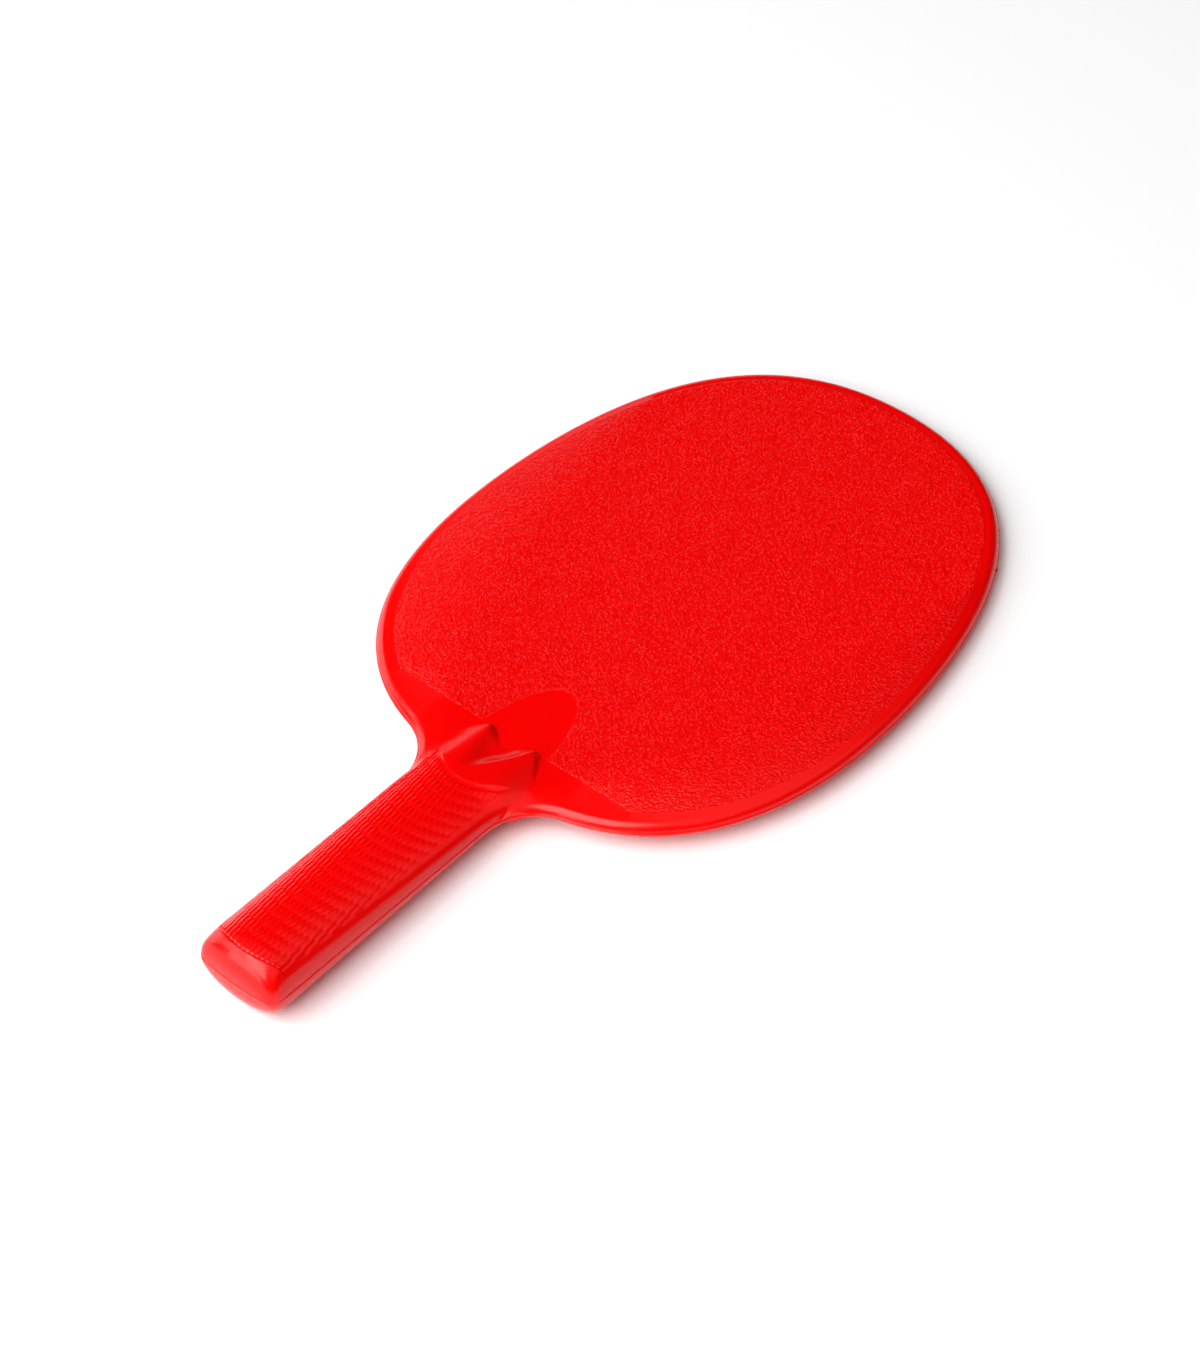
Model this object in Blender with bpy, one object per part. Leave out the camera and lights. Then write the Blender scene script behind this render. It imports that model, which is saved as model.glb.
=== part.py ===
# Beach tennis racket: two moulded half shells that meet on the mid-plane of
# the blade, round a foam sheet in the blade and a foam bar in the handle.
#
# The shape is drawn in the racket's own frame, in millimetres: X runs from the
# butt of the handle (0) to the tip of the blade, Y across the blade, and Z = 0
# is the parting plane between the two shells.  The finished assembly is then
# laid down as it lies on a floor, on the crown of the butt and the rim of the
# tip, with the origin on the floor under the middle of its outer box.

import math

import bmesh
import bpy
import numpy as np
from mathutils import Matrix
from mathutils.geometry import delaunay_2d_cdt

MM = 0.001

# ----------------------------------------------------------------- dimensions
WIDEST_X = 202.5          # where the blade is widest, from the butt
TIP_A = 124.5             # superellipse reach of the tip half of the blade
TIP_N = 2.026             # and its power
NECK_A = 98.0             # reach of the neck half
NECK_N = 2.167            # and its power
SIDE_B = 85.0             # reach of the sides
SHOULDER = 1.83           # fullness of the blade's four shoulders, in at tip and sides
SHOULDER_EGG = 0.17       # more of it towards the tip
SHOULDER_LEAN = 0.20      # shift of the shoulders along the blade
SHOULDER_FINE = 0.32      # tightness of the shoulders
FACE_Z = 3.60             # blade face above the parting plane
RIM_R = 4.0               # width of the rounding from the rim to the face
NECK_FILLET = 20.0        # plan radius between the handle and the blade

HANDLE_A0 = 15.42         # half width of the handle at the butt
HANDLE_AK = 0.0127        # and its growth per mm
HANDLE_B0 = 12.66         # half thickness of the handle at the butt
HANDLE_BK = 0.0572        # and its loss per mm
HANDLE_N = 2.3            # superellipse power of the handle's section
HANDLE_FLAT = 0.08        # narrow flat along the crown
BUTT_R = 1.7              # corner radius of the butt end in plan
BUTT_R_IN = 1.2           # least corner radius of the lines inside it
BUTT_BOW = 0.93           # how far the butt end falls back towards its corners
DOME = 10.4               # length of the domed butt end
DOME_N = 2.55             # and the power of its profile

REST_X = 100.6            # where the handle's flanks begin to close in
REST_K = 0.006            # how fast they close in over the thumb rest
CREST_X = 122.6           # the two lobes at the front of the thumb rest
NOTCH = 5.3               # depth of the notch between them
LOBE_Y = 8.5              # the lobes' distance from the middle
CREST_EDGE = 1.7          # rounding at the front edge of the thumb rest
GROOVE_Z = 1.2            # depth of the thumb groove behind the notch
GROOVE_Y = 4.4            # and its half width
GROOVE_L = 15.0           # and its length
FLANK_FILLET = 1.5        # softening where the handle runs out into the blade

WALL = 1.6                # skin of the shells
RIM_WALL = 3.0            # solid band of the rim, across
LAND = 0.32               # how far the seam land stands out from the rim
LAND_Z = 0.30             # half the land's thickness
PART_GAP = 0.15           # each shell's share of the gap on the parting plane
TONGUE = (1.15, 1.95)     # tongue on the front shell's rim, from and to
TONGUE_Z = 0.65           # how far it reaches past the parting plane
GROOVE_GAP = 0.30         # play round it in the back shell's groove

BLADE_POSTS = ((146.0, 0.0), (172.0, 40.0), (172.0, -40.0), (212.0, 0.0),
               (238.0, 46.0), (238.0, -46.0), (286.0, 0.0))
HANDLE_POSTS = ((26.0, 0.0), (74.0, 0.0))
BOSS_R = 4.0              # posts inside the shells
PEG_R = (1.6, 2.2)        # pegs on the front shell's posts: blade, handle
PEG_Z = (2.1, 5.0)        # their reach past the parting plane
PEG_PLAY = 0.3
CORE_PLAY = 0.4           # foam to boss
CORE_Z = 1.2              # half the thickness of the foam sheet
CORE_START = 9.8          # where the foam bar starts, behind the dome
CORE_SPLIT = (103.0, 105.0)   # end of the foam bar, start of the foam sheet

RED = (0.86, 0.004, 0.006, 1.0)
FOAM = (0.82, 0.80, 0.74, 1.0)

LENGTH = WIDEST_X + TIP_A - SHOULDER - SHOULDER_EGG - SHOULDER_LEAN - SHOULDER_FINE


# ------------------------------------------------------------------- outline
def handle_a(x):
    """Half width of the handle's flanks, carried on under the thumb rest."""
    return np.where(x < REST_X, HANDLE_A0 + HANDLE_AK * x,
                    HANDLE_A0 + HANDLE_AK * REST_X - REST_K * (x - REST_X) ** 2)


def blade_curve(t):
    """Blade outline, upper half: t runs from the neck (0) to the tip (pi)."""
    c, s = -np.cos(t), np.sin(t)
    n = np.where(c > 0, TIP_N, NECK_N)
    a = np.where(c > 0, TIP_A, NECK_A)
    u, v = np.abs(c) ** (2 / n), np.abs(s) ** (2 / n)
    point = np.stack([WIDEST_X + a * np.sign(c) * u, SIDE_B * v], axis=1)
    way = np.stack([np.sign(c) * u ** (n - 1) / a, v ** (n - 1) / SIDE_B], axis=1)
    way = way / np.hypot(*way.T)[:, None]
    q = math.pi - t
    out = -(SHOULDER_EGG * np.cos(3 * q) + SHOULDER * np.cos(4 * q)
            + SHOULDER_LEAN * np.cos(5 * q) + SHOULDER_FINE * np.cos(6 * q))
    return point + out[:, None] * way


def neck_fillet():
    """Centre of the arc that touches the handle's side and the blade."""
    blade = blade_curve(np.linspace(0.02, 1.4, 24001))
    slope = math.hypot(1.0, HANDLE_AK)

    def centre(x):
        return np.array([x, HANDLE_A0 + HANDLE_AK * x + NECK_FILLET * slope])

    low, high = 60.0, 110.0
    for _ in range(50):
        mid = (low + high) / 2
        gap = np.hypot(*(blade - centre(mid)).T).min()
        if gap > NECK_FILLET:
            low = mid
        else:
            high = mid
    c = centre(low)
    start = c + NECK_FILLET * np.array([HANDLE_AK, -1.0]) / slope
    touch = blade[np.hypot(*(blade - c).T).argmin()]
    return c, start, touch


def resample(points, count, values=None):
    """The same line through count points, evenly spaced along it, or the
    values that its points carry, read at those places."""
    step = np.r_[0, np.cumsum(np.hypot(*np.diff(points, axis=0).T))]
    at = np.linspace(0, step[-1], count)
    values = points if values is None else values
    return np.stack([np.interp(at, step, values[:, 0]),
                     np.interp(at, step, values[:, 1])], axis=1)


def outline(fine, inset=0.0):
    """Half outline from the butt to the tip, or the line inset from it;
    fine multiplies the points."""
    r = max(BUTT_R - inset, BUTT_R_IN)
    phi = np.linspace(0, math.pi / 2, 3 * fine + 1)
    x = inset + r * (1 - np.cos(phi))
    y = handle_a(x) - inset - r + r * np.sin(phi)
    flat = np.linspace(0, y[0], 6 * fine + 1)[:-1]
    x, y = np.r_[inset + 0 * flat, x], np.r_[flat, y]
    butt = np.stack([x + BUTT_BOW * (y / 14.0) ** 2, y], axis=1)
    c, start, touch = neck_fillet()
    a0 = math.atan2(*(start - c)[::-1])
    a1 = math.atan2(*(touch - c)[::-1])
    turn = np.linspace(a0, a1, 9 * fine + 1)
    arc = c + (NECK_FILLET + inset) * np.stack([np.cos(turn), np.sin(turn)], axis=1)
    side = resample(np.array([butt[-1], arc[0]]), 10 * fine + 1)
    blade = blade_curve(np.linspace(0, math.pi, 12001))
    blade = np.vstack([touch, blade[blade[:, 0] > touch[0]]])
    blade[-1] = (LENGTH, 0.0)
    way = np.gradient(blade, axis=0)
    way = np.stack([way[:, 1], -way[:, 0]], axis=1)
    way = way / np.hypot(*way.T)[:, None]
    way[-1] = (-1.0, 0.0)
    way = resample(blade, 44 * fine + 1, way)
    blade = resample(blade, 44 * fine + 1)
    blade = blade + inset * way / np.hypot(*way.T)[:, None]
    return np.vstack([butt[:-1], side[:-1], arc[:-1], blade])


def closed(half):
    """Whole loop, anticlockwise seen from above, from the upper half."""
    mirrored = half[::-1][1:-1] * (1, -1)
    return np.vstack([half, mirrored])[::-1]


def loop(inset=0.0, fine=1):
    """Closed line at a distance inside the outline."""
    return closed(outline(fine, inset))


DENSE = loop(fine=16)


def depth(points):
    """Distance of each point from the outline."""
    return np.array([np.hypot(*(DENSE - p).T).min() for p in points])


# ------------------------------------------------------------ outer surface
def crest_line(y):
    """Front edge of the thumb rest: two lobes with a notch between them."""
    y = np.abs(y)
    inner = CREST_X - NOTCH * 0.5 * (1 + np.cos(math.pi * np.minimum(y, LOBE_Y) / LOBE_Y))
    return inner - 0.14 * np.maximum(y - LOBE_Y, 0) ** 2


def handle_height(x, y):
    """Height of the handle body and of the thumb rest it ends in."""
    u = x - BUTT_BOW * (y / 14.0) ** 2
    end = np.clip((BUTT_R - u) / BUTT_R, 0, 1)
    corner = BUTT_R * (1 - np.sqrt(1 - end * end))
    dome = (1 - np.clip(1 - u / DOME, 0, 1) ** DOME_N) ** (1 / DOME_N)
    b = HANDLE_B0 - HANDLE_BK * u
    w = 1 - np.abs(y / (handle_a(u) - corner)) ** HANDLE_N
    z = b * dome * np.clip(w, 0, 1) ** (1 / HANDLE_N)
    z = np.minimum(z, (b - HANDLE_FLAT) * dome)
    front = np.clip((crest_line(y) - x) / CREST_EDGE, 0, 1)
    z = z * np.sqrt(1 - (1 - front) ** 2)
    along = np.clip((x - (CREST_X - NOTCH - GROOVE_L)) / GROOVE_L, 0, 1)
    across = np.clip(np.abs(y) / GROOVE_Y, 0, 1)
    return z - GROOVE_Z * along * along * (3 - 2 * along) * (1 - across ** 2) ** 2


def outer_height(x, y, d):
    """Outer surface of either shell above the parting plane."""
    r = RIM_R + 1.6 * np.clip((125.0 - x) / 20.0, 0, 1)
    k = np.clip(1 - d / r, 0, 1)
    blade = FACE_Z * np.sqrt(1 - k * k)
    body = handle_height(x, y)
    soft = FLANK_FILLET * np.clip(d / 3.0, 0, 1) * np.clip((x - 84.0) / 6.0, 0, 1) + 1e-6
    near = np.clip(1 - np.abs(blade - body) / soft, 0, 1)
    top = np.maximum(blade, body) + near * near * soft / 4
    return np.where(x < 80.0, body, top)


# ---------------------------------------------------------------- mesh tools
def obj_from(name, verts, faces, parent=None, material=None):
    mesh = bpy.data.meshes.new(name)
    mesh.from_pydata([tuple(float(c) * MM for c in v) for v in verts], [],
                     [tuple(int(i) for i in f) for f in faces])
    mesh.validate()
    bm = bmesh.new()
    bm.from_mesh(mesh)
    bmesh.ops.recalc_face_normals(bm, faces=bm.faces)
    bm.to_mesh(mesh)
    bm.free()
    ob = bpy.data.objects.new(name, mesh)
    bpy.context.scene.collection.objects.link(ob)
    ob.parent = parent
    if material:
        mesh.materials.append(material)
    return ob


def smooth(ob, angle=35.0):
    ob.data.shade_smooth()
    ob.data.set_sharp_from_angle(angle=math.radians(angle))


def band(a, b):
    """Quads between two rings of equal length, given as vertex indices."""
    n = len(a)
    return [(a[i], a[(i + 1) % n], b[(i + 1) % n], b[i]) for i in range(n)]


def triangulate(edge, extra):
    """Plan triangulation of the area inside a closed line, through the extra points."""
    pts = [tuple(map(float, p)) for p in edge] + [tuple(map(float, p)) for p in extra]
    n = len(edge)
    out = delaunay_2d_cdt(pts, [(i, (i + 1) % n) for i in range(n)], [], 1, 1e-6)
    assert len(out[0]) == len(pts), "a plan point was merged or added"
    return [tuple(t) for t in out[2]]


def interior_points(margin):
    """Extra points that carry the handle's, thumb rest's and face's shape."""
    pts = []
    for x in np.r_[5.9, 7.2, 8.2, 9.1, 11.0, np.linspace(16, 100, 12)]:
        for s in (0.0, 0.19, 0.42, 0.62, 0.78):
            y = s * float(handle_a(x))
            pts += [(x, y), (x, -y)] if s else [(x, 0.0)]
    for x in np.arange(104.0, 117.0, 3.2):
        for y in (0.0, 1.5, 3.0, 4.6, 7.0, 10.0, 12.5, 14.2, 16.0, 18.5):
            pts += [(x, y), (x, -y)] if y else [(x, 0.0)]
    for y in np.r_[0.0, np.arange(1.5, 13.6, 1.5)]:
        for s in (-0.05, 0.3, 0.9, 1.7, 3.0):
            x = float(crest_line(y)) - s
            pts += [(x, y), (x, -y)] if y else [(x, 0.0)]
    pts = np.array(pts)
    pts = pts[depth(pts) > margin]
    keep = []
    for p in pts:
        if all(math.hypot(*(p - q)) > 0.25 for q in keep):
            keep.append(p)
    return np.array(keep)


# --------------------------------------------------------------- half shells
def shell(name, side, parent, material):
    """One half shell; side is +1 for the front and -1 for the back."""
    verts, faces = [], []

    def add(points, z):
        first = len(verts)
        z = np.broadcast_to(z, len(points))
        verts.extend((p[0], p[1], side * h) for p, h in zip(points, z))
        return list(range(first, len(verts)))

    def ring(s, z):
        return add(loop(s), z)

    def skin(s):
        p = loop(s)
        h = outer_height(p[:, 0], p[:, 1], np.full(len(p), s))
        return add(p, np.maximum(h, LAND_Z + 0.06))

    # outside: seam land, rounding, then the whole face in plan
    rings = [ring(-LAND, PART_GAP), ring(-LAND, LAND_Z)]
    rings += [skin(s) for s in (0.03, 0.18, 0.5, 1.1, 2.0)]
    for a, b in zip(rings[:-1], rings[1:]):
        faces += band(a, b)
    extra = np.vstack([loop(2.9), loop(3.9), loop(4.9), interior_points(5.5)])
    tris = triangulate(loop(2.0), extra)
    inner = add(extra, outer_height(extra[:, 0], extra[:, 1], depth(extra)))
    index = rings[-1] + inner
    faces += [tuple(index[i] for i in t) for t in tris]

    # parting face with the tongue, or the groove that takes it
    if side > 0:
        lo, hi, z = TONGUE[0], TONGUE[1], -TONGUE_Z
    else:
        lo, hi = TONGUE[0] - GROOVE_GAP, TONGUE[1] + GROOVE_GAP
        z = TONGUE_Z + GROOVE_GAP
    path = [rings[0], ring(lo, PART_GAP), ring(lo, z), ring(hi, z), ring(hi, PART_GAP)]
    path.append(ring(RIM_WALL, PART_GAP))
    for a, b in zip(path[:-1], path[1:]):
        faces += band(a, b)

    # cavity: an upright wall, then the skin's inner side
    top = loop(RIM_WALL + 0.12)
    ceiling = add(top, outer_height(top[:, 0], top[:, 1], depth(top)) - WALL)
    faces += band(path[-1], ceiling)
    extra = interior_points(4.6)
    tris = triangulate(top, extra)
    inner = add(extra, outer_height(extra[:, 0], extra[:, 1], depth(extra)) - WALL)
    index = ceiling + inner
    faces += [tuple(index[i] for i in t) for t in tris]

    ob = obj_from(name, verts, faces, parent, material)
    return ob, np.array(verts)


def turned(name, profiles, parent, steps=14):
    """Turned solids on upright axes: (x, y, [(radius, z), ...]) each."""
    verts, faces = [], []
    for x, y, profile in profiles:
        rows = []
        for r, z in profile:
            first = len(verts)
            verts += [(x + r * math.cos(k * math.tau / steps),
                       y + r * math.sin(k * math.tau / steps), z) for k in range(steps)]
            rows.append(list(range(first, first + steps)))
        for a, b in zip(rows[:-1], rows[1:]):
            faces += band(a, b)
        faces += [tuple(rows[0]), tuple(rows[-1])]
    return obj_from(name, verts, faces, parent)


def helper(ob):
    ob.hide_render = True
    ob.hide_set(True)
    ob.display_type = "WIRE"
    return ob


def boolean(ob, other, operation):
    mod = ob.modifiers.new(other.name, "BOOLEAN")
    mod.operation = operation
    mod.solver = "EXACT"
    mod.object = other


def posts():
    """(x, y, height under the skin, peg radius, peg reach) of every post."""
    out = []
    for group, spots in enumerate((BLADE_POSTS, HANDLE_POSTS)):
        for x, y in spots:
            p = np.array([[x, y]])
            top = float(outer_height(p[:, 0], p[:, 1], depth(p))[0]) - WALL
            out.append((x, y, top + 0.7 * WALL, PEG_R[group], PEG_Z[group]))
    return out


# --------------------------------------------------------------- foam pieces
def blade_core(parent, material):
    """Foam sheet that fills the blade between the two skins."""
    upper = sorted((tuple(p) for p in loop(RIM_WALL + 0.12 + 0.35)
                    if p[0] > CORE_SPLIT[1] and p[1] > 1.0),
                   key=lambda p: math.atan2(p[1], p[0] - WIDEST_X))
    upper = [(LENGTH - RIM_WALL - 0.47, 0.0)] + upper
    edge = np.array(upper + [(x, -y) for x, y in upper[:0:-1]])
    n = len(edge)
    verts = [(p[0] - WIDEST_X, p[1], -CORE_Z) for p in edge]
    verts += [(p[0] - WIDEST_X, p[1], CORE_Z) for p in edge]
    faces = band(list(range(n)), list(range(n, 2 * n)))
    tris = triangulate(edge, [])
    faces += [t[::-1] for t in tris] + [tuple(i + n for i in t) for t in tris]
    ob = obj_from("blade_core", verts, faces, parent, material)
    ob.location = (WIDEST_X * MM, 0.0, 0.0)
    return ob


def handle_core(parent, material):
    """Foam bar that fills the handle, tapered with it."""
    steps, rows, verts = 28, [], []
    middle = (CORE_START + CORE_SPLIT[0]) / 2
    for x in (CORE_START, CORE_SPLIT[0]):
        a = float(handle_a(x)) - RIM_WALL - 0.6
        b = HANDLE_B0 - HANDLE_BK * x - HANDLE_FLAT - WALL - 0.4
        first = len(verts)
        for k in range(steps):
            t = math.tau * k / steps
            c, s = math.cos(t), math.sin(t)
            verts.append((x - middle,
                          a * math.copysign(abs(c) ** (2 / HANDLE_N), c),
                          b * math.copysign(abs(s) ** (2 / HANDLE_N), s)))
        rows.append(list(range(first, first + steps)))
    faces = band(*rows) + [tuple(rows[0]), tuple(rows[1])]
    ob = obj_from("handle_core", verts, faces, parent, material)
    ob.location = (middle * MM, 0.0, 0.0)
    return ob


def principled(name, colour, roughness, metallic=0.0):
    mat = bpy.data.materials.new(name)
    mat.use_nodes = True
    bsdf = mat.node_tree.nodes["Principled BSDF"]
    bsdf.inputs["Base Color"].default_value = colour
    bsdf.inputs["Roughness"].default_value = roughness
    bsdf.inputs["Metallic"].default_value = metallic
    mat.diffuse_color = colour
    return mat


def lying_tilt(points):
    """Pitch at which the butt and the tip touch the floor together."""
    near = points[points[:, 0] < 80.0]
    far = points[points[:, 0] > 240.0]

    def low(p, t):
        return (p[:, 2] * math.cos(t) - p[:, 0] * math.sin(t)).min()

    lo, hi = 0.0, 0.1
    for _ in range(60):
        mid = (lo + hi) / 2
        if low(near, mid) < low(far, mid):
            lo = mid
        else:
            hi = mid
    return lo


def main():
    for ob in list(bpy.data.objects):
        bpy.data.objects.remove(ob, do_unlink=True)

    racket = bpy.data.objects.new("racket", None)
    bpy.context.scene.collection.objects.link(racket)

    front, v1 = shell("front_shell", 1, racket, principled("front_shell", RED, 0.34))
    back, v2 = shell("back_shell", -1, racket, principled("back_shell", RED, 0.34))
    sheet = blade_core(racket, principled("blade_core", FOAM, 0.9))
    bar = handle_core(racket, principled("handle_core", FOAM, 0.9))

    all_posts = posts()
    pegs = turned("front_posts", [(x, y, [(BOSS_R, top), (BOSS_R, PART_GAP), (r, PART_GAP),
                                          (r, -reach + 0.4), (r - 0.4, -reach)])
                                  for x, y, top, r, reach in all_posts], racket)
    boss = turned("back_posts", [(x, y, [(BOSS_R, -PART_GAP), (BOSS_R, -top)])
                                 for x, y, top, r, reach in all_posts], racket)
    bore = turned("back_sockets", [(x, y, [(r + PEG_PLAY, 0.4), (r + PEG_PLAY, -reach - PEG_PLAY)])
                                   for x, y, top, r, reach in all_posts], racket)
    hole = turned("core_holes", [(x, y, [(BOSS_R + CORE_PLAY, 14.0), (BOSS_R + CORE_PLAY, -14.0)])
                                 for x, y, top, r, reach in all_posts], racket)
    boolean(front, pegs, "UNION")
    boolean(back, boss, "UNION")
    boolean(back, bore, "DIFFERENCE")
    boolean(sheet, hole, "DIFFERENCE")
    boolean(bar, hole, "DIFFERENCE")
    for ob in (pegs, boss, bore, hole):
        helper(ob)
    for ob in (front, back, sheet, bar):
        smooth(ob)

    points = np.vstack([v1, v2])
    tilt = lying_tilt(points)
    turn = np.array(Matrix.Rotation(tilt, 3, "Y"))
    placed = points @ turn.T
    low, high = placed.min(axis=0), placed.max(axis=0)
    racket.rotation_euler = (0.0, tilt, 0.0)
    racket.location = (-(low[0] + high[0]) / 2 * MM, -(low[1] + high[1]) / 2 * MM, -low[2] * MM)
    bpy.context.view_layer.update()


main()
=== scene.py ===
import math

import bmesh
import bpy
import numpy as np
from mathutils import Matrix, Vector, kdtree, noise
from mathutils.geometry import delaunay_2d_cdt


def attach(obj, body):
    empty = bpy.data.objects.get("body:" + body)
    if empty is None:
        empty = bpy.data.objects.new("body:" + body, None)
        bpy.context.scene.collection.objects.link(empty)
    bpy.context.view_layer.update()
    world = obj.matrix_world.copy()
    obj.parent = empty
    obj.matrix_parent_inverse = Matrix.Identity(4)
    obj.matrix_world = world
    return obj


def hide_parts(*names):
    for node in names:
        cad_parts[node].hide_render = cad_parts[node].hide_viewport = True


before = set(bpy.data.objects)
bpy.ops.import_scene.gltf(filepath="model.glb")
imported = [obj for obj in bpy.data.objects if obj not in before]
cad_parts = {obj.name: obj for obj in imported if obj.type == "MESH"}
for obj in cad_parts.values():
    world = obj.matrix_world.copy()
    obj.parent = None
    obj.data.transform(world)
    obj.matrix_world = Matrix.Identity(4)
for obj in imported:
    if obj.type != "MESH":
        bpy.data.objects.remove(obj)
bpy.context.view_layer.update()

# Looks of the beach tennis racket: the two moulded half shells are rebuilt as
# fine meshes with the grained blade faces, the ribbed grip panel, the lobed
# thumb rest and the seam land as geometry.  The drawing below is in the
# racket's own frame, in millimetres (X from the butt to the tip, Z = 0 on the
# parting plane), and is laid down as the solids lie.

MM = 0.001
# ------------------------------------------------- where the solids lie
TILT = 0.027080265805125237
PLACE = Vector((-0.16218051314353943, 0.0, 0.012277895584702492))
LAY = Matrix.Translation(PLACE) @ Matrix.Rotation(TILT, 4, "Y")

# ------------------------------------------------- shape, as the solids have it
WIDEST_X = 202.5
TIP_A, TIP_N = 124.5, 2.026
NECK_A, NECK_N = 98.0, 2.167
SIDE_B = 85.0
SHOULDER, SHOULDER_EGG, SHOULDER_LEAN, SHOULDER_FINE = 1.83, 0.17, 0.20, 0.32
LENGTH = WIDEST_X + TIP_A - SHOULDER - SHOULDER_EGG - SHOULDER_LEAN - SHOULDER_FINE
FACE_Z = 3.45             # the bare face; the grained face lies level with the solids' face
RIM_R = 4.0
NECK_FILLET = 20.0
HANDLE_A0, HANDLE_AK = 15.42, 0.0127
HANDLE_B0, HANDLE_BK = 12.66, 0.0572
HANDLE_N = 2.3
HANDLE_FLAT = 0.08
BUTT_R, BUTT_R_IN, BUTT_BOW = 3.4, 1.2, 0.93
DOME, DOME_N = 10.4, 2.55
REST_X, REST_K = 100.6, 0.006
REST_Y = -1.3             # the thumb rest sits a little off the middle
CREST_X, NOTCH, LOBE_Y, CREST_EDGE = 123.9, 4.2, 9.2, 2.6
LOBE_MID = -0.6           # the middle between the two lobes
REST_BASE, REST_TAPER, REST_SLOPE = 16.6, 0.176, 0.55   # its flanks' foot and slope
SCOOP = (101.0, 118.5, 3.2, 1.6, 8.0, 2.8)   # thumb groove: from, full at, depth, half widths, y at its start
FLANK_FILLET, CREST_SOFT = 1.5, 1.0
WALL, RIM_WALL = 1.6, 3.0
LAND = 0.316

# ------------------------------------------------- fine detail
PART_Z = 0.02             # each shell's share of the hairline on the parting plane
GRAIN_STEP = 0.10         # grained face above the bare face
GRAIN_Z = 0.035           # relief of the grain's larger cells
CHORD_X = 123.2           # straight edge of the grained face
OVAL = (114.1, -0.9, 35.2, 13.6)    # bare oval in front of the thumb rest
GRIP = (4.7, 0.021, 96.5, 0.038)    # end arcs of the grip panel: x = x0 + k y^2
GRIP_Z = 0.42             # how deep the panel lies
RIB_PITCH, RIB_STEP, RIB_X = 1.7, 4.58, 7.8   # rice-grain ribs: across, along, first row
RIB_Z, RIB_REACH = 0.20, 2.5         # their height and half length
NUBS = ((87.5, -17.5, 0.75, 0.9), (282.4, -67.3, 0.9, 0.55))   # x, y, reach, half width

GRID_BLADE, GRID_REST = 0.75, 0.38


def handle_a(x):
    return np.where(x < REST_X, HANDLE_A0 + HANDLE_AK * x,
                    HANDLE_A0 + HANDLE_AK * REST_X - REST_K * (x - REST_X) ** 2)


def blade_curve(t):
    """Blade outline, upper half: t runs from the neck (0) to the tip (pi)."""
    c, s = -np.cos(t), np.sin(t)
    n = np.where(c > 0, TIP_N, NECK_N)
    a = np.where(c > 0, TIP_A, NECK_A)
    u, v = np.abs(c) ** (2 / n), np.abs(s) ** (2 / n)
    point = np.stack([WIDEST_X + a * np.sign(c) * u, SIDE_B * v], axis=1)
    way = np.stack([np.sign(c) * u ** (n - 1) / a, v ** (n - 1) / SIDE_B], axis=1)
    way = way / np.hypot(*way.T)[:, None]
    q = math.pi - t
    out = -(SHOULDER_EGG * np.cos(3 * q) + SHOULDER * np.cos(4 * q)
            + SHOULDER_LEAN * np.cos(5 * q) + SHOULDER_FINE * np.cos(6 * q))
    return point + out[:, None] * way


def neck_fillet():
    blade = blade_curve(np.linspace(0.02, 1.4, 24001))
    slope = math.hypot(1.0, HANDLE_AK)

    def centre(x):
        return np.array([x, HANDLE_A0 + HANDLE_AK * x + NECK_FILLET * slope])

    low, high = 60.0, 110.0
    for _ in range(50):
        mid = (low + high) / 2
        gap = np.hypot(*(blade - centre(mid)).T).min()
        if gap > NECK_FILLET:
            low = mid
        else:
            high = mid
    c = centre(low)
    start = c + NECK_FILLET * np.array([HANDLE_AK, -1.0]) / slope
    touch = blade[np.hypot(*(blade - c).T).argmin()]
    return c, start, touch


def resample(points, count, values=None):
    """The same line through count points, evenly spaced along it, or the
    values that its points carry, read at those places."""
    step = np.r_[0, np.cumsum(np.hypot(*np.diff(points, axis=0).T))]
    at = np.linspace(0, step[-1], count)
    values = points if values is None else values
    return np.stack([np.interp(at, step, values[:, 0]),
                     np.interp(at, step, values[:, 1])], axis=1)


def outline(fine, inset=0.0):
    """Half outline from the butt to the tip, or the line inset from it;
    fine multiplies the points."""
    r = max(BUTT_R - inset, BUTT_R_IN)
    phi = np.linspace(0, math.pi / 2, 3 * fine + 1)
    x = inset + r * (1 - np.cos(phi))
    y = handle_a(x) - inset - r + r * np.sin(phi)
    flat = np.linspace(0, y[0], 6 * fine + 1)[:-1]
    x, y = np.r_[inset + 0 * flat, x], np.r_[flat, y]
    butt = np.stack([x + BUTT_BOW * (y / 14.0) ** 2, y], axis=1)
    c, start, touch = neck_fillet()
    a0 = math.atan2(*(start - c)[::-1])
    a1 = math.atan2(*(touch - c)[::-1])
    turn = np.linspace(a0, a1, 9 * fine + 1)
    arc = c + (NECK_FILLET + inset) * np.stack([np.cos(turn), np.sin(turn)], axis=1)
    side = resample(np.array([butt[-1], arc[0]]), 10 * fine + 1)
    blade = blade_curve(np.linspace(0, math.pi, 40001))
    blade = np.vstack([touch, blade[blade[:, 0] > touch[0]]])
    blade[-1] = (LENGTH, 0.0)
    way = np.gradient(blade, axis=0)
    way = np.stack([way[:, 1], -way[:, 0]], axis=1)
    way = way / np.hypot(*way.T)[:, None]
    way[-1] = (-1.0, 0.0)
    way = resample(blade, 44 * fine + 1, way)
    blade = resample(blade, 44 * fine + 1)
    blade = blade + inset * way / np.hypot(*way.T)[:, None]
    return np.vstack([butt[:-1], side[:-1], arc[:-1], blade])


def closed(half):
    mirrored = half[::-1][1:-1] * (1, -1)
    return np.vstack([half, mirrored])[::-1]


def loop(inset=0.0, fine=7):
    """Closed line at a distance inside the outline."""
    return closed(outline(fine, inset))


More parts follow.
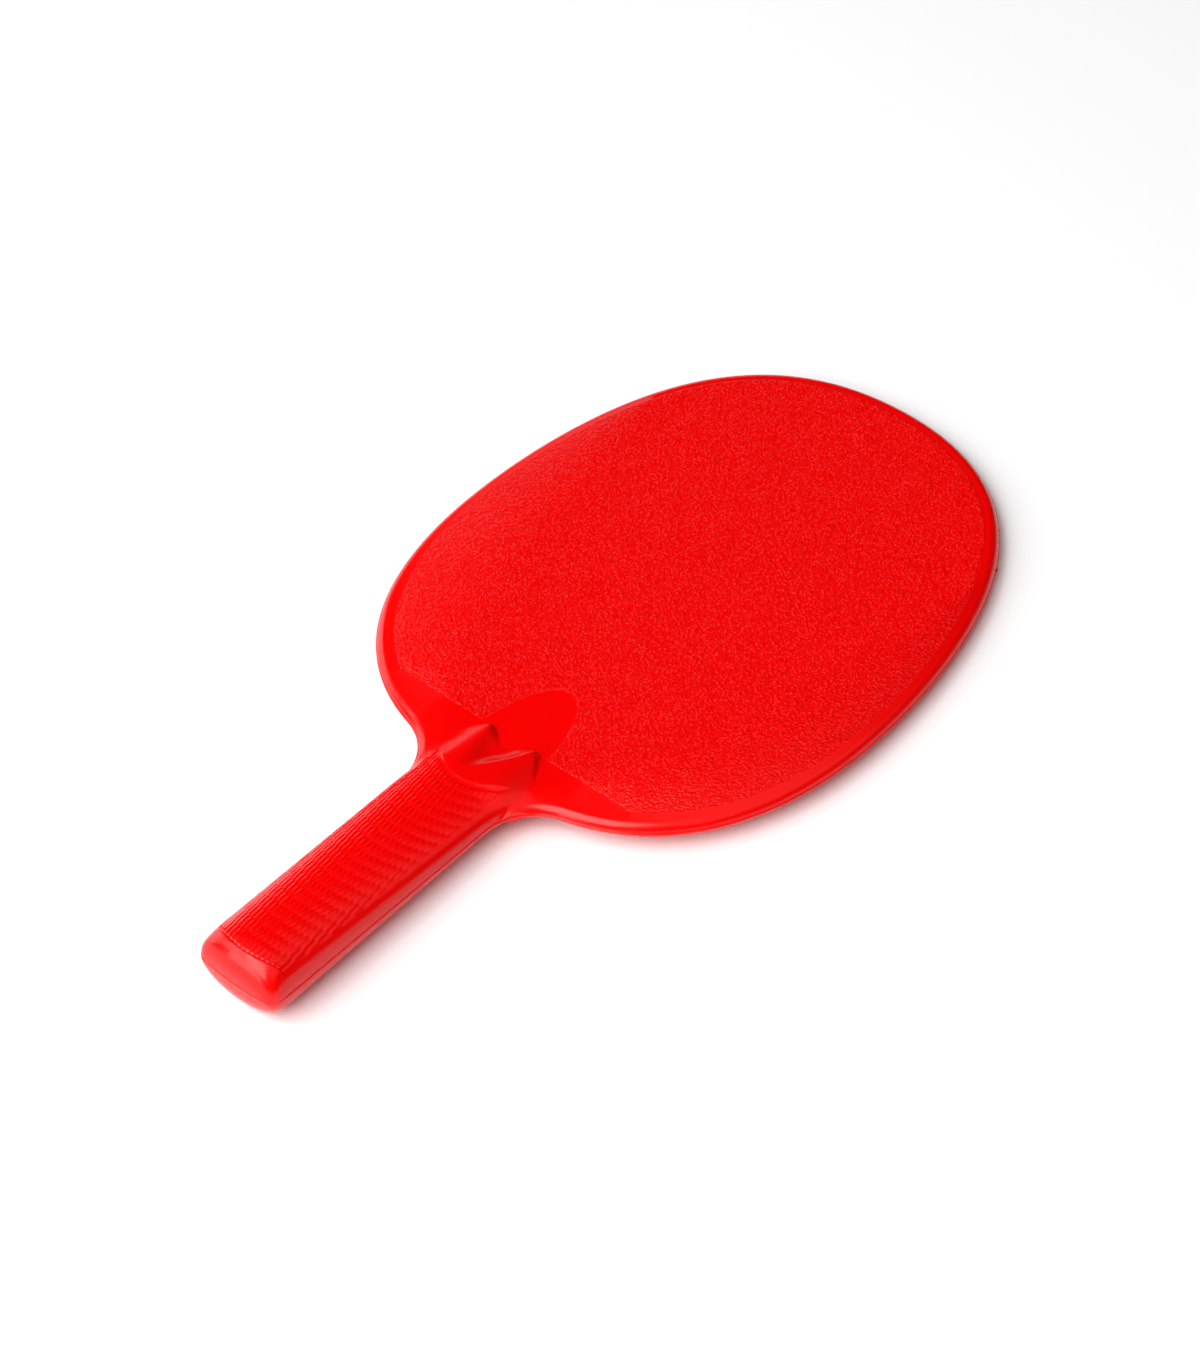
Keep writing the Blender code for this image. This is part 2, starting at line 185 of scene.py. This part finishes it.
def tangent_normals(line):
    d = np.roll(line, -1, 0) - np.roll(line, 1, 0)
    n = np.stack([-d[:, 1], d[:, 0]], axis=1)
    return n / np.hypot(*n.T)[:, None]


DENSE = loop(fine=32)
DENSE_N = tangent_normals(DENSE)


def tree_of(points):
    tree = kdtree.KDTree(len(points))
    for i, p in enumerate(points):
        tree.insert((p[0], p[1], 0.0), i)
    tree.balance()
    return tree


DENSE_TREE = tree_of(DENSE)


def nearest(points, tree=DENSE_TREE):
    """(distance, index) of the nearest tree point to each point in plan."""
    found = [tree.find((p[0], p[1], 0.0)) for p in points]
    return np.array([f[2] for f in found]), np.array([f[1] for f in found])


def step(x):
    x = np.clip(x, 0, 1)
    return x * x * (3 - 2 * x)


def crest_line(y):
    y = np.abs(y - LOBE_MID)
    inner = CREST_X - NOTCH * 0.5 * (1 + np.cos(math.pi * np.minimum(y, LOBE_Y) / LOBE_Y))
    past = np.maximum(y - LOBE_Y, 0)
    return inner - 0.28 * np.minimum(past, 2.6) ** 2 - 1.45 * np.maximum(past - 2.6, 0)


def soft_min(a, b, k):
    return np.minimum(a, b) - np.maximum(k - np.abs(a - b), 0) ** 2 / (4 * k)


def handle_shape(x, y):
    shift = REST_Y * step((x - 88.0) / 22.0)
    u = x - BUTT_BOW * (y / 14.0) ** 2
    end = np.clip((BUTT_R - u) / BUTT_R, 0, 1)
    corner = BUTT_R * (1 - np.sqrt(1 - end * end))
    dome = (1 - np.clip(1 - u / DOME, 0, 1) ** DOME_N) ** (1 / DOME_N)
    b = HANDLE_B0 - HANDLE_BK * u
    w = 1 - np.abs((y - shift) / (handle_a(u) - corner)) ** HANDLE_N
    z = b * dome * np.clip(w, 0, 1) ** (1 / HANDLE_N)
    z = np.minimum(z, (b - HANDLE_FLAT) * dome)

    # thumb rest: plane flanks that draw in, and a scoop that opens forwards
    flank = 3.6 + REST_SLOPE * (REST_BASE - REST_TAPER * (x - REST_X) - np.abs(y - shift))
    rest = soft_min(b - HANDLE_FLAT + 0 * y, flank, 1.5)
    rest = np.clip(rest, 0, None)
    z = z + (rest - z) * step((x - 95.0) / 9.0)
    front = np.clip((crest_line(y) - x) / CREST_EDGE, 0, 1)
    along = (x - SCOOP[0]) / (SCOOP[1] - SCOOP[0])
    middle = SCOOP[5] + (LOBE_MID - SCOOP[5]) * np.clip(along, 0, 1)
    wide = SCOOP[3] + (SCOOP[4] - SCOOP[3]) * np.clip(along, 0, 1.3)
    across = np.clip(np.abs(y - middle) / wide, 0, 1)
    z = z - SCOOP[2] * step(along * 0.9) * (1 - across ** 2) ** np.where(y > middle, 1.8, 1.4)
    return z * np.sqrt(1 - (1 - front) ** 2)


def handle_height(x, y):
    """The handle's height, with the thumb rest's crests rounded off."""
    r = CREST_SOFT * step((x - 98.0) / 8.0)
    total = 2 * handle_shape(x, y)
    for k in range(6):
        total = total + handle_shape(x + r * math.cos(math.pi * k / 3), y + r * math.sin(math.pi * k / 3))
    return total / 8


def outer_height(x, y, d):
    r = RIM_R + 1.6 * np.clip((125.0 - x) / 20.0, 0, 1)
    k = np.clip(1 - d / r, 0, 1)
    blade = FACE_Z * np.sqrt(1 - k * k)
    body = handle_height(x, y)
    soft = FLANK_FILLET * np.clip(d / 3.0, 0, 1) * np.clip((x - 84.0) / 6.0, 0, 1) + 1e-6
    near = np.clip(1 - np.abs(blade - body) / soft, 0, 1)
    top = np.maximum(blade, body) + near * near * soft / 4
    return np.where(x < 80.0, body, top)


# ------------------------------------------------- grained face
def grain_margin(p):
    """Width of the bare rim inside outline point p."""
    a = np.where(p[:, 0] > WIDEST_X, TIP_A, NECK_A)
    n = np.where(p[:, 0] > WIDEST_X, TIP_N, NECK_N)
    c = np.sign(p[:, 0] - WIDEST_X) * np.clip(np.abs(p[:, 0] - WIDEST_X) / a, 0, 1) ** (n / 2)
    return 5.17 - 0.39 * c + 0.95 * (2 * c * c - 1)


def grain_edge(x, y, d, i):
    """Signed distance into the grained face, positive inside."""
    rim = d - grain_margin(DENSE[i])
    ex, ey, ea, eb = OVAL
    q = np.sqrt(((x - ex) / ea) ** 2 + ((y - ey) / eb) ** 2) + 1e-9
    g = np.hypot((x - ex) / ea ** 2, (y - ey) / eb ** 2) / q + 1e-9
    return np.minimum(np.minimum(rim, x - CHORD_X), (q - 1) / g)


def grain_border():
    """Closed line round the grained face, anticlockwise."""
    rim = DENSE + DENSE_N * grain_margin(DENSE)[:, None]
    rim = rim[(rim[:, 0] > CHORD_X + 0.05) & (DENSE[:, 0] > 110.0)]
    rim = rim[np.argsort(np.arctan2(rim[:, 1], rim[:, 0] - WIDEST_X))]
    rim = resample(rim, int(610 / 0.72))
    ex, ey, ea, eb = OVAL
    t0 = math.acos((CHORD_X - ex) / ea)
    t = np.linspace(t0, -t0, 400)
    oval = np.stack([ex + ea * np.cos(t), ey + eb * np.sin(t)], axis=1)
    oval = resample(oval, int(85 / 0.72))
    up = np.array([(CHORD_X, rim[-1][1]), oval[0]])
    up = resample(up, int((up[0][1] - up[1][1]) / 0.72))
    down = np.array([oval[-1], (CHORD_X, rim[0][1])])
    down = resample(down, int((down[0][1] - down[1][1]) / 0.72))
    return np.vstack([rim, up[:-1], oval, down[1:]])


# ------------------------------------------------- grip panel
def grip_station(x, y):
    """Where an axial line crosses the panel's own curved columns."""
    k = np.interp(x, [0.0, 5.0, 96.0, 200.0], [0.004, GRIP[1], GRIP[3], GRIP[3]])
    s = x - k * y * y
    k = np.interp(s, [0.0, GRIP[0], GRIP[2], 200.0], [0.004, GRIP[1], GRIP[3], GRIP[3]])
    return x - k * y * y


def bend_of(s):
    return np.interp(s, [0.0, GRIP[0], GRIP[2], 200.0], [0.004, GRIP[1], GRIP[3], GRIP[3]])


def girth(y):
    """Way across the handle, measured round its section."""
    return y + 0.53 * np.sign(y) * (np.abs(y) / 12.0) ** 6


def ripple(a, b):
    """Uneven sizes of the ribs, the same for every build."""
    h = np.sin(a * 12.9898 + b * 78.233) * 43758.5453
    return h - np.floor(h)


def grip_relief(x, y):
    """Recess of the grip panel and the staggered ribs in it."""
    s = grip_station(x, y)
    side = 1 - step((np.abs(y) - 12.2) / 2.2)
    start = step((s - GRIP[0]) / 0.45)
    lip = np.clip((s - GRIP[2]) / 1.7, 0, 1)
    depth = GRIP_Z * side * start * np.sqrt(1 - lip * lip)
    crest = 0.09 * np.exp(-((s - GRIP[0] + 0.45) / 0.34) ** 2) * side
    inside = step((s - GRIP[0] - 0.35) / 0.5) * step((GRIP[2] - 0.1 - s) / 0.7)
    ribs = np.zeros(len(x))
    for odd in (0, 1):
        row = odd + 2 * np.round((s - RIB_X - odd * RIB_STEP) / (2 * RIB_STEP))
        along = s - RIB_X - RIB_STEP * row
        line = (girth(y) - 0.09 * along) / RIB_PITCH - 0.5 * odd
        number = np.round(line)
        size = 0.80 + 0.30 * ripple(row, number)
        reach = RIB_REACH + 0.3 * ripple(number, row + 3.0)
        taper = 1 - np.clip(np.abs(along) / reach, 0, 1) ** 2.2
        across = np.clip(np.abs(line - number) / (0.05 + 0.43 * taper), 0, 1)
        bead = size * taper ** 0.5 * (1 - across * across)
        ribs = np.maximum(ribs, RIB_Z * bead)
    line = girth(y) / RIB_PITCH
    first = np.clip(np.cos(math.pi * (line - np.round(line))), 0, 1) ** 2.5
    first = 0.34 * first * (1 - np.clip(np.abs(s - GRIP[0] - 0.95) / 0.55, 0, 1) ** 2)
    edge = np.where(y > 0, 14.6 - 0.8 * step((x - 84.0) / 8.0), 12.6)
    return -depth + crest + np.maximum(ribs * inside, first) * (1 - step((np.abs(y) - edge) / 1.2))


def skin_height(p, d, i):
    """Height of the finished outer surface, and the grain's mask."""
    x, y = p[:, 0], p[:, 1]
    z = outer_height(x, y, d)
    z = z + np.where(x < 112.0, grip_relief(x, y), 0.0) * step((d - np.where(y > 0, 0.5, 1.2)) / 0.8)
    e = grain_edge(x, y, d, i)
    mask = step((e + 0.10) / 0.18)
    rows = np.flatnonzero(e > 0.02)
    cell = np.zeros(len(p))
    for k in rows:
        q = Vector((x[k] / 1.9, y[k] / 1.9, 3.7))
        cell[k] = noise.noise(q) + 0.6 * noise.noise(q * 2.1)
    return z + GRAIN_STEP * mask + GRAIN_Z * cell * step(e / 0.5), mask


# ------------------------------------------------- mesh of one shell
def band(a, b):
    n = len(a)
    return [(a[i], a[(i + 1) % n], b[(i + 1) % n], b[i]) for i in range(n)]


def triangulate(points, n, more_edges=()):
    pts = [(float(p[0]), float(p[1])) for p in points]
    edges = [(i, (i + 1) % n) for i in range(n)] + list(more_edges)
    out = delaunay_2d_cdt(pts, edges, [], 1, 1e-7)
    assert len(out[0]) == len(pts), ("plan points", len(out[0]), len(pts))
    return [tuple(t) for t in out[2]]


def plan_points():
    """Every point of the skin inside the structured rim, and its own edges."""
    ring = loop()
    _, at = nearest(ring)
    groups = []

    def in_handle(p):
        return p[:, 0] < 98.5 + GRIP[3] * p[:, 1] ** 2

    def in_rest(p):
        return ~in_handle(p) & (p[:, 0] < 127.0) & (np.abs(p[:, 1]) < 24.0)

    border = grain_border()
    bn = tangent_normals(border)
    rows = [border - bn * 0.10, border + bn * 0.08]
    border_tree = tree_of(border)
    for s in (1.9, 2.4, 3.0, 3.6, 4.3, 5.0):
        p = loop(s)
        if s > 2.5:
            p = p[~in_handle(p) & ~in_rest(p)]
            p = p[nearest(p, border_tree)[0] > 0.42]
        groups.append(p)
    for s in (1.7, 2.15, 2.65):
        p = loop(s)
        groups.append(p[(p[:, 0] > 3.0) & (p[:, 0] < 94.0) & (p[:, 1] > 0)])

    # handle: curved columns that follow the ends of the grip panel
    cols = np.r_[1.4, 2.0, 2.6, 3.2, 3.7, 4.0, 4.2, 4.4, 4.6, 4.75, 4.9, 5.05, 5.2, 5.4, 5.65, 5.9, 6.2,
                 np.arange(6.55, 95.8, 0.5), 96.05, 96.3, 96.5, 96.65, 96.85, 97.1, 97.35, 97.6, 97.85, 98.1, 98.5]
    y = np.linspace(-14.4, 14.4, 600)
    y = np.interp(np.arange(-72, 73) * (RIB_PITCH / 8), girth(y), y)
    gx = cols[:, None] + bend_of(cols)[:, None] * y[None, :] ** 2
    p = np.stack([gx.ravel(), np.broadcast_to(y, gx.shape).ravel()], axis=1)
    d, _ = nearest(p)
    groups.append(p[(d > np.where(p[:, 1] > 0, 2.85, 2.7))])

    # thumb rest: rows along its front edge, then an even grid round them
    offsets = (-0.45, -0.22, -0.06, 0.06, 0.2, 0.38, 0.6, 0.9, 1.25, 1.7, 2.2)
    y = LOBE_MID + np.arange(-39, 40) * 0.36
    front = np.vstack([np.stack([crest_line(y) - o, y], axis=1) for o in offsets])
    front_tree = tree_of(front)
    groups.append(front)
    g = GRID_REST
    xs = np.arange(97.0, 127.0, g * 0.87)
    ys = np.arange(-24.0, 24.0, g)
    p = np.array([(x, v + (g / 2 if k % 2 else 0)) for k, x in enumerate(xs) for v in ys])
    p = p[in_rest(p) & ~in_handle(p - (0.3, 0.0))]
    p = p[nearest(p)[0] > 2.75]
    p = p[nearest(p, front_tree)[0] > 0.33]
    p = p[nearest(p, border_tree)[0] > 0.36]
    groups.append(p)

    # blade
    g = GRID_BLADE
    xs = np.arange(100.0, LENGTH, g * 0.87)
    ys = np.arange(-SIDE_B, SIDE_B, g)
    p = np.array([(x, v + (g / 2 if k % 2 else 0)) for k, x in enumerate(xs) for v in ys])
    p = p[~in_handle(p) & ~in_rest(p - (0.3, 0.0))]
    inside = ((p[:, 0] - WIDEST_X) / np.where(p[:, 0] > WIDEST_X, TIP_A, NECK_A + 20)) ** 2 + (p[:, 1] / SIDE_B) ** 2
    p = p[inside < 1.25]
    d, i = nearest(p)
    side = ((p - DENSE[i]) * DENSE_N[i]).sum(axis=1)
    p = p[(d > 5.4) & (side > 0)]
    p = p[nearest(p, border_tree)[0] > 0.48]
    groups.append(p)

    first = len(ring) + sum(len(q) for q in groups)
    edges = []
    for r in rows:
        n = len(r)
        edges += [(first + k, first + (k + 1) % n) for k in range(n)]
        first += n
        groups.append(r)
    return ring, at, np.vstack(groups), edges


def build_skin():
    ring, at, inner, edges = plan_points()
    n = len(ring)
    verts, faces, mask = [], [], []

    land = LAND * (0.25 + 0.75 * step((ring[:, 0] - 2.0) / 6.0))
    for nx, ny, reach, half in NUBS:
        far = np.hypot(ring[:, 0] - nx, ring[:, 1] - ny)
        land = land + (reach - LAND) * np.exp(-(far / half) ** 4)

    def add(p, z, m=None):
        first = sum(len(v) for v in verts)
        z = np.broadcast_to(z, len(p))
        verts.append(np.column_stack([p, z]))
        mask.append(np.zeros(len(p)) if m is None else m)
        return np.arange(first, first + len(p))

    rings = []
    for out, z in ((1.0, PART_Z), (1.0, 0.10), (0.94, 0.20), (0.78, 0.30), (0.5, 0.39), (0.0, 0.46)):
        rings.append(add(ring + (loop(-1.0) - ring) * (land * out)[:, None], z))
    for s in (0.015, 0.05, 0.12, 0.22, 0.36, 0.55, 0.80, 1.10, 1.50):
        p = loop(s)
        h, m = skin_height(p, np.full(n, s), at)
        rings.append(add(p, np.maximum(h, 0.49 + s) if s < 0.1 else h, m))
    for a, b in zip(rings[:-1], rings[1:]):
        faces += band(a, b)
    last = loop(1.5)
    d, i = nearest(inner)
    h, m = skin_height(inner, d, i)
    index = np.r_[rings[-1], add(inner, h, m)]
    tris = triangulate(np.vstack([last, inner]), n, [(a, b) for a, b in edges])
    faces += [tuple(int(index[k]) for k in t) for t in tris]
    skin_faces = len(faces)

    # the skin laid out flat: in plan, with the steep edge unrolled outwards
    solid = np.vstack(verts)
    flat = solid[:, :2].copy()
    way = loop(-1.0) - ring
    way = way / np.hypot(*way.T)[:, None]
    roll = np.zeros(n)
    for a, b in zip(rings[-2::-1], rings[:0:-1]):
        roll = roll + np.linalg.norm(solid[a] - solid[b], axis=1)
        flat[a] = last + way * roll[:, None]

    # parting face, cavity wall and the skin's inner side
    edge = add(loop(RIM_WALL), PART_Z)
    faces += band(rings[0], edge)
    top = loop(RIM_WALL + 0.12)
    ceiling = add(top, outer_height(top[:, 0], top[:, 1], np.full(n, RIM_WALL + 0.12)) - WALL)
    faces += band(edge, ceiling)
    grid = np.array([(x, y) for x in np.arange(4.0, 326.0, 3.5) for y in np.arange(-84.0, 84.1, 3.5)])
    d, i = nearest(grid)
    side = ((grid - DENSE[i]) * DENSE_N[i]).sum(axis=1)
    grid = grid[(d > RIM_WALL + 1.4) & (side > 0)]
    d, i = nearest(grid)
    index = np.r_[ceiling, add(grid, outer_height(grid[:, 0], grid[:, 1], d) - WALL)]
    tris = triangulate(np.vstack([top, grid]), n)
    faces += [tuple(int(index[k]) for k in t) for t in tris]
    return np.vstack(verts), faces, np.concatenate(mask), flat, skin_faces


def mesh_object(name, verts, faces, mask, flat, skin_faces, side, material):
    placed = verts * (MM, MM, side * MM)
    lay = np.array(LAY)
    placed = placed @ lay[:3, :3].T + lay[:3, 3]
    mesh = bpy.data.meshes.new(name)
    mesh.from_pydata(placed.tolist(), [], faces)
    bm = bmesh.new()
    bm.from_mesh(mesh)
    bmesh.ops.recalc_face_normals(bm, faces=bm.faces)
    bm.to_mesh(mesh)
    bm.free()
    grain = mesh.attributes.new("grain", "FLOAT", "POINT")
    grain.data.foreach_set("value", mask.astype(np.float32))
    corner = np.empty(len(mesh.loops), np.int32)
    mesh.loops.foreach_get("vertex_index", corner)
    sides = np.empty(len(mesh.polygons), np.int32)
    mesh.polygons.foreach_get("loop_total", sides)
    outside = np.repeat(np.arange(len(sides)), sides) < skin_faces
    spread = np.vstack([flat, np.zeros((len(verts) - len(flat), 2))])
    layout = np.where(outside[:, None], spread[corner] + (12.0, 92.0),
                      verts[corner, :2] * 0.45 + (6.0, 230.0)) / 350.0
    mesh.uv_layers.new(name="OFBake").uv.foreach_set("vector", layout.astype(np.float32).ravel())
    mesh.shade_smooth()
    mesh.set_sharp_from_angle(angle=math.radians(55))
    mesh.materials.append(material)
    ob = bpy.data.objects.new(name, mesh)
    bpy.context.scene.collection.objects.link(ob)
    return ob


# ------------------------------------------------- materials
def new_material(name):
    mat = bpy.data.materials.new(name)
    mat.use_nodes = True
    tree = mat.node_tree
    bsdf = tree.nodes["Principled BSDF"]
    return mat, tree, bsdf


def red_plastic(name, seed):
    mat, tree, bsdf = new_material(name)
    new, link = tree.nodes.new, tree.links.new
    coord = new("ShaderNodeTexCoord")
    shift = new("ShaderNodeMapping")
    shift.inputs["Location"].default_value = (seed * 0.37, seed * 0.21, 0.0)
    link(coord.outputs["Object"], shift.inputs["Vector"])
    attr = new("ShaderNodeAttribute")
    attr.attribute_name = "grain"

    # colour: a very slight cloudiness of the pigment
    cloud = new("ShaderNodeTexNoise")
    cloud.inputs["Scale"].default_value = 38.0
    cloud.inputs["Detail"].default_value = 3.0
    link(shift.outputs["Vector"], cloud.inputs["Vector"])
    ramp = new("ShaderNodeValToRGB")
    ramp.color_ramp.elements[0].position = 0.3
    ramp.color_ramp.elements[0].color = (0.82, 0.0, 0.0, 1)
    ramp.color_ramp.elements[1].position = 0.7
    ramp.color_ramp.elements[1].color = (0.86, 0.0, 0.0, 1)
    link(cloud.outputs["Fac"], ramp.inputs["Fac"])

    # leather-like grain: warped cells with worm-like valleys
    warp = new("ShaderNodeTexNoise")
    warp.inputs["Scale"].default_value = 420.0
    warp.inputs["Detail"].default_value = 2.0
    link(shift.outputs["Vector"], warp.inputs["Vector"])
    amount = new("ShaderNodeVectorMath")
    amount.operation = "MULTIPLY_ADD"
    amount.inputs[1].default_value = (0.0011, 0.0011, 0.0011)
    link(warp.outputs["Color"], amount.inputs[0])
    link(shift.outputs["Vector"], amount.inputs[2])
    cells = new("ShaderNodeTexVoronoi")
    cells.feature = "SMOOTH_F1"
    cells.inputs["Scale"].default_value = 980.0
    cells.inputs["Smoothness"].default_value = 0.35
    link(amount.outputs["Vector"], cells.inputs["Vector"])
    fine = new("ShaderNodeTexNoise")
    fine.inputs["Scale"].default_value = 1900.0
    fine.inputs["Detail"].default_value = 2.0
    link(shift.outputs["Vector"], fine.inputs["Vector"])
    mixed = new("ShaderNodeMath")
    mixed.operation = "MULTIPLY_ADD"
    mixed.inputs[1].default_value = -1.0
    link(cells.outputs["Distance"], mixed.inputs[0])
    link(fine.outputs["Fac"], mixed.inputs[2])
    grain = new("ShaderNodeMath")
    grain.operation = "MULTIPLY"
    link(mixed.outputs["Value"], grain.inputs[0])
    link(attr.outputs["Fac"], grain.inputs[1])

    # painted light on the grain: its raised cells are painted paler and pinkish as a painted highlight, its valleys
    # painted deeper red as painted shade
    grain_light_and_shade_range = new("ShaderNodeMapRange")
    grain_light_and_shade_range.inputs["From Min"].default_value = -0.25
    grain_light_and_shade_range.inputs["From Max"].default_value = 0.45
    link(mixed.outputs["Value"], grain_light_and_shade_range.inputs["Value"])
    grain_painted_light = new("ShaderNodeValToRGB")
    grain_painted_light.color_ramp.elements[0].position = 0.15
    grain_painted_light.color_ramp.elements[0].color = (0.77, 0.0, 0.0, 1)
    grain_painted_light.color_ramp.elements[1].position = 0.95
    grain_painted_light.color_ramp.elements[1].color = (0.96, 0.022, 0.022, 1)
    body = grain_painted_light.color_ramp.elements.new(0.6)
    body.color = (0.86, 0.0, 0.0, 1)
    link(grain_light_and_shade_range.outputs["Result"], grain_painted_light.inputs["Fac"])
    # the grained face takes the colour with painted highlight and painted shade, the bare skin keeps the plain
    # pigment
    blend = new("ShaderNodeMix")
    blend.data_type = "RGBA"
    link(attr.outputs["Fac"], blend.inputs[0])
    link(ramp.outputs["Color"], blend.inputs[6])
    link(grain_painted_light.outputs["Color"], blend.inputs[7])
    link(blend.outputs[2], bsdf.inputs["Base Color"])

    # moulded skin elsewhere: a faint orange peel
    peel = new("ShaderNodeTexNoise")
    peel.inputs["Scale"].default_value = 260.0
    peel.inputs["Detail"].default_value = 2.0
    link(shift.outputs["Vector"], peel.inputs["Vector"])
    bump_peel = new("ShaderNodeBump")
    bump_peel.inputs["Strength"].default_value = 0.06
    bump_peel.inputs["Distance"].default_value = 0.0004
    link(peel.outputs["Fac"], bump_peel.inputs["Height"])
    bump_grain = new("ShaderNodeBump")
    bump_grain.inputs["Strength"].default_value = 0.75
    bump_grain.inputs["Distance"].default_value = 0.00030
    link(grain.outputs["Value"], bump_grain.inputs["Height"])
    link(bump_peel.outputs["Normal"], bump_grain.inputs["Normal"])
    link(bump_grain.outputs["Normal"], bsdf.inputs["Normal"])

    # roughness: satin skin, a little glossier on the grain, with faint rubbing
    rub = new("ShaderNodeTexNoise")
    rub.inputs["Scale"].default_value = 55.0
    rub.inputs["Detail"].default_value = 5.0
    link(shift.outputs["Vector"], rub.inputs["Vector"])
    rub_range = new("ShaderNodeMapRange")
    rub_range.inputs["To Min"].default_value = 0.22
    rub_range.inputs["To Max"].default_value = 0.27
    link(rub.outputs["Fac"], rub_range.inputs["Value"])
    rough = new("ShaderNodeMath")
    rough.operation = "MULTIPLY_ADD"
    rough.inputs[1].default_value = -0.02
    link(attr.outputs["Fac"], rough.inputs[0])
    link(rub_range.outputs["Result"], rough.inputs[2])
    link(rough.outputs["Value"], bsdf.inputs["Roughness"])
    bsdf.inputs["IOR"].default_value = 1.49
    bsdf.inputs["Specular IOR Level"].default_value = 0.35
    return mat


def foam(name, seed):
    mat, tree, bsdf = new_material(name)
    new, link = tree.nodes.new, tree.links.new
    coord = new("ShaderNodeTexCoord")
    cells = new("ShaderNodeTexVoronoi")
    cells.inputs["Scale"].default_value = 420.0 + seed
    link(coord.outputs["Object"], cells.inputs["Vector"])
    ramp = new("ShaderNodeValToRGB")
    ramp.color_ramp.elements[0].color = (0.84, 0.82, 0.76, 1)
    ramp.color_ramp.elements[1].color = (0.70, 0.68, 0.61, 1)
    link(cells.outputs["Distance"], ramp.inputs["Fac"])
    link(ramp.outputs["Color"], bsdf.inputs["Base Color"])
    bump = new("ShaderNodeBump")
    bump.inputs["Strength"].default_value = 0.4
    bump.inputs["Distance"].default_value = 0.0006
    link(cells.outputs["Distance"], bump.inputs["Height"])
    link(bump.outputs["Normal"], bsdf.inputs["Normal"])
    bsdf.inputs["Roughness"].default_value = 0.85
    return mat


# ------------------------------------------------- build
verts, faces, mask, flat, skin_faces = build_skin()
front = mesh_object("front_shell_moulded", verts, faces, mask, flat, skin_faces, 1,
                    red_plastic("red_plastic_front", 1.0))
back = mesh_object("back_shell_moulded", verts, faces, mask, flat, skin_faces, -1,
                   red_plastic("red_plastic_back", 2.0))
for ob, node in ((front, "front_shell"), (back, "back_shell")):
    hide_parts(node)
    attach(ob, "root")
for node, seed in (("blade_core", 0.0), ("handle_core", 35.0)):
    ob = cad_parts[node]
    mat = foam("foam_" + node, seed)
    ob.data.materials.clear()
    ob.data.materials.append(mat)

# ------------------------------------------------- floor
floor_mesh = bpy.data.meshes.new("floor")
floor_mesh.from_pydata([(-6, -6, 0), (6, -6, 0), (6, 6, 0), (-6, 6, 0)], [], [(0, 1, 2, 3)])
floor = bpy.data.objects.new("floor", floor_mesh)
bpy.context.scene.collection.objects.link(floor)
floor.location.z = -0.0001
mat, tree, bsdf = new_material("floor")
bsdf.inputs["Base Color"].default_value = (0.96, 0.96, 0.96, 1)
bsdf.inputs["Roughness"].default_value = 0.9
bsdf.inputs["Specular IOR Level"].default_value = 0.0
floor_mesh.materials.append(mat)


# ------------------------------------------------- light
def area(name, azimuth, elevation, distance, size, power, size_y=None, target=(0.0, 0.0, 0.0)):
    az, el = math.radians(azimuth), math.radians(elevation)
    light = bpy.data.lights.new(name, "AREA")
    light.shape = "RECTANGLE"
    light.size = size
    light.size_y = size_y or size
    light.energy = power
    ob = bpy.data.objects.new(name, light)
    way = Vector((math.cos(el) * math.cos(az), math.cos(el) * math.sin(az), math.sin(el)))
    ob.location = Vector(target) + way * distance
    ob.rotation_euler = way.to_track_quat("Z", "Y").to_euler()
    bpy.context.scene.collection.objects.link(ob)
    return ob


# soft boxes round the butt's and the left-hand side, nothing opposite the camera
area("butt_box", 183, 50, 2.7, 1.9, 67, 2.1)
area("left_box", 136, 46, 2.7, 1.8, 36, 2.2)
area("right_box", 280, 66, 2.7, 3.2, 16, 3.0)
area("low_left", 97, 10, 2.7, 1.8, 16, 1.3)
area("low_butt", 165, 16, 2.7, 1.8, 26, 1.2)
area("low_far", 52, 5, 2.7, 1.9, 2.6, 0.6)

world = bpy.data.worlds.new("studio")
bpy.context.scene.world = world
world.use_nodes = True
world.node_tree.nodes["Background"].inputs["Color"].default_value = (1, 1, 1, 1)
world.node_tree.nodes["Background"].inputs["Strength"].default_value = 0.015

# ------------------------------------------------- camera
AZ, EL, ROLL = 3.82776466, 0.80109362, 0.01585517
DIST, FOCAL_PX = 1097.70488, 3522.90159
TARGET = (160.14181, -3.83500, 0.0)
ca, sa, ce, se = math.cos(AZ), math.sin(AZ), math.cos(EL), math.sin(EL)
away = Vector((ce * ca, ce * sa, se))
right = Vector((-sa, ca, 0.0))
up = Vector((-se * ca, -se * sa, ce))
right, up = (math.cos(ROLL) * right + math.sin(ROLL) * up,
             -math.sin(ROLL) * right + math.cos(ROLL) * up)
eye = Vector(TARGET) + away * DIST
cam = bpy.data.cameras.new("camera")
cam.sensor_fit = "HORIZONTAL"
cam.sensor_width = 36.0
cam.lens = FOCAL_PX / 1200.0 * 36.0
cam.clip_start = 0.05
cam.clip_end = 50.0
camera = bpy.data.objects.new("camera", cam)
bpy.context.scene.collection.objects.link(camera)
spin = Matrix((right, up, away)).transposed().to_4x4()
camera.matrix_world = LAY @ Matrix.Translation(eye * MM) @ spin
bpy.context.scene.camera = camera

view = bpy.context.scene.view_settings
view.view_transform = "Standard"
view.look = "None"
view.exposure = 0.0
view.gamma = 1.0
